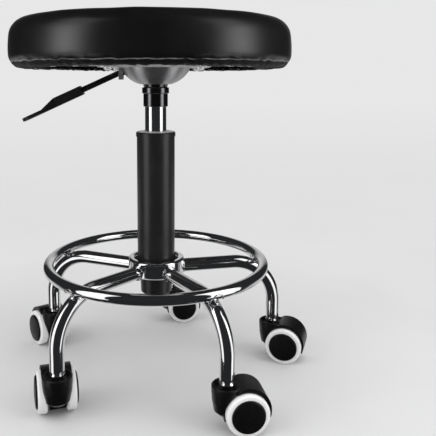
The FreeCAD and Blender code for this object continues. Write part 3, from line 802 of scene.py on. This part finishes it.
# ---------------------------------------------------------------- stage, light, camera
FLOOR_RADII = (12.0, 5.0, 2.0, 0.6)
ROOM = (0.80, 0.80, 0.805, 1)
WHITE = (1, 1, 1, 1)
SOFT_LIGHT = (0.80, 0.80, 0.81, 1)  # what matt surfaces see
DARK_STUDIO = (0.022, 0.023, 0.024, 1)  # what polished metal sees in front and overhead
BRIGHT_STUDIO = (0.62, 0.62, 0.62, 1)  # what it sees of the backdrop and floor behind
PANEL_HALF_HEIGHT = 0.85
PANEL_AWAY = 0.85
PANEL_Z = 0.52
PANEL_GLOW = 4.6
PANEL_EDGE = 0.28  # glow at a panel's rim, as a share of its middle
LAMP_AIM = Vector((0, 0, 0.25))
LENS_MM = 49.22
SENSOR_MM = 36.0
CAMERA_PLACE = (0.02329, -0.78384, 0.40035)
CAMERA_DOWN_DEG = 7.36
CAMERA_SHIFT = (0.1023, -0.1486)


def build_floor():
    """Pale floor that fades into the room, so no horizon shows. Polished metal sees past it."""
    turns = 2 * np.pi * np.arange(96) / 96
    circle = np.column_stack([np.cos(turns), np.sin(turns), 0 * turns])
    mesh = ring_mesh("floor", [r * circle for r in FLOOR_RADII], first_cap=False)
    shader = Shader("pale_floor", (0.80, 0.80, 0.80), roughness=0.6, Specular_IOR_Level=0.1)
    cloud = shader.noise(3, detail=5)
    pale, dull = (0.69, 0.69, 0.69), (0.65, 0.65, 0.65)
    shader.color_from(shader.blend(shader.spread(cloud, 0, 1), pale, dull))
    nearness = shader.tree.nodes.new("ShaderNodeMath")
    nearness.operation = "DIVIDE"
    nearness.inputs[0].default_value = 1.0
    shader.link(shader.length(shader.place), nearness.inputs[1])
    far = shader.spread(nearness.outputs["Value"], 1, 0, 0.12, 2.0)
    seen = shader.mixed(far, shader.main.outputs["BSDF"], shader.glow(ROOM, 1.0))
    clear = shader.tree.nodes.new("ShaderNodeBsdfTransparent").outputs["BSDF"]
    path = shader.tree.nodes.new("ShaderNodeLightPath")
    shader.surface_from(shader.mixed(path.outputs["Is Glossy Ray"], seen, clear))
    mesh.materials.append(shader.material)
    floor = placed("floor", mesh)


def build_world():
    """Soft light all round; polished metal sees dark, but for the backdrop and floor behind."""
    world = bpy.data.worlds.new("studio")
    bpy.context.scene.world = world
    world.use_nodes = True
    tree = world.node_tree
    coords = tree.nodes.new("ShaderNodeTexCoord")
    split = tree.nodes.new("ShaderNodeSeparateXYZ")
    tree.links.new(coords.outputs["Generated"], split.inputs["Vector"])
    behind, upward = split.outputs["Y"], split.outputs["Z"]

    def ramp(value, low, high, top=None):
        """0 to top (or 1) as value goes from low to high."""
        node = tree.nodes.new("ShaderNodeMapRange")
        node.inputs["From Min"].default_value = low
        node.inputs["From Max"].default_value = high
        tree.links.new(value, node.inputs["Value"])
        if top is not None:
            tree.links.new(top, node.inputs["To Max"])
        return node.outputs["Result"]

    backdrop = ramp(behind, 0.86, 0.96, top=ramp(upward, -0.12, 0.0))
    far_floor = ramp(behind, 0.18, 0.46, top=ramp(upward, -0.14, -0.24))
    either = tree.nodes.new("ShaderNodeMath")
    either.operation = "MAXIMUM"
    tree.links.new(backdrop, either.inputs[0])
    tree.links.new(far_floor, either.inputs[1])
    mirrored = two_colors(tree, either.outputs["Value"], DARK_STUDIO, BRIGHT_STUDIO)
    path = tree.nodes.new("ShaderNodeLightPath")
    light = two_colors(tree, path.outputs["Is Glossy Ray"], SOFT_LIGHT, mirrored)
    seen = two_colors(tree, path.outputs["Is Camera Ray"], light, ROOM)
    tree.links.new(seen, tree.nodes["Background"].inputs["Color"])
    bpy.context.scene.view_settings.view_transform = "Standard"


def round_the_stool(azimuth, distance, height):
    """A place round the stool; azimuth 0 is the front, positive to the right."""
    angle = math.radians(azimuth)
    return Vector((distance * math.sin(angle), -distance * math.cos(angle), height))


def softbox(name, azimuth, width):
    """A tall glowing panel that only polished surfaces see."""
    w, h = width / 2, PANEL_HALF_HEIGHT
    mesh = bpy.data.meshes.new(name)
    mesh.from_pydata([(-w, -h, 0), (w, -h, 0), (w, h, 0), (-w, h, 0)], [], [(0, 1, 2, 3)])
    shader = Shader(name, (0, 0, 0))
    light = shader.glow(WHITE, PANEL_GLOW)
    away = shader.length(shader.stretched((2.2 / width, 2.6, 1)))
    fade = shader.spread(away, PANEL_GLOW, PANEL_EDGE * PANEL_GLOW, 0.0, 1.0)
    fade.node.interpolation_type = "SMOOTHSTEP"
    shader.link(fade, light.node.inputs["Strength"])
    shader.surface_from(light)
    mesh.materials.append(shader.material)
    panel = placed(name, mesh)
    panel.location = round_the_stool(azimuth, PANEL_AWAY, PANEL_Z)
    panel.rotation_euler = (math.radians(90), 0, math.radians(azimuth))
    panel.visible_camera = False
    panel.visible_diffuse = False
    panel.visible_shadow = False


def lamp(name, azimuth, distance, height, size, power):
    """A wide soft light for matt surfaces."""
    data = bpy.data.lights.new(name, "AREA")
    data.shape = "RECTANGLE"
    data.size, data.size_y = size
    data.energy = power
    light = placed(name, data)
    light.location = round_the_stool(azimuth, distance, height)
    aim = LAMP_AIM - light.location
    light.rotation_euler = aim.to_track_quat("-Z", "Y").to_euler()
    light.visible_glossy = False


def build_light():
    softbox("panel_left", -58, 0.46)
    softbox("panel_right", 66, 0.50)
    lamp("lamp_left", -60, 1.6, 1.3, (1.0, 1.2), 9)
    lamp("lamp_right", 65, 1.6, 1.3, (1.0, 1.2), 9)
    lamp("lamp_top", 20, 0.4, 2.2, (1.8, 1.8), 14)


def build_camera():
    """A low front view that looks a little down on the base."""
    data = bpy.data.cameras.new("camera")
    data.lens = LENS_MM
    data.sensor_width = SENSOR_MM
    data.shift_x, data.shift_y = CAMERA_SHIFT
    data.clip_start = 0.01
    data.clip_end = 50.0
    camera = placed("camera", data)
    camera.location = CAMERA_PLACE
    camera.rotation_euler = (math.radians(90 - CAMERA_DOWN_DEG), 0, 0)
    bpy.context.scene.camera = camera


dress_frame()
build_seat()
build_staples()
build_welds()
build_floor()
build_world()
build_light()
build_camera()
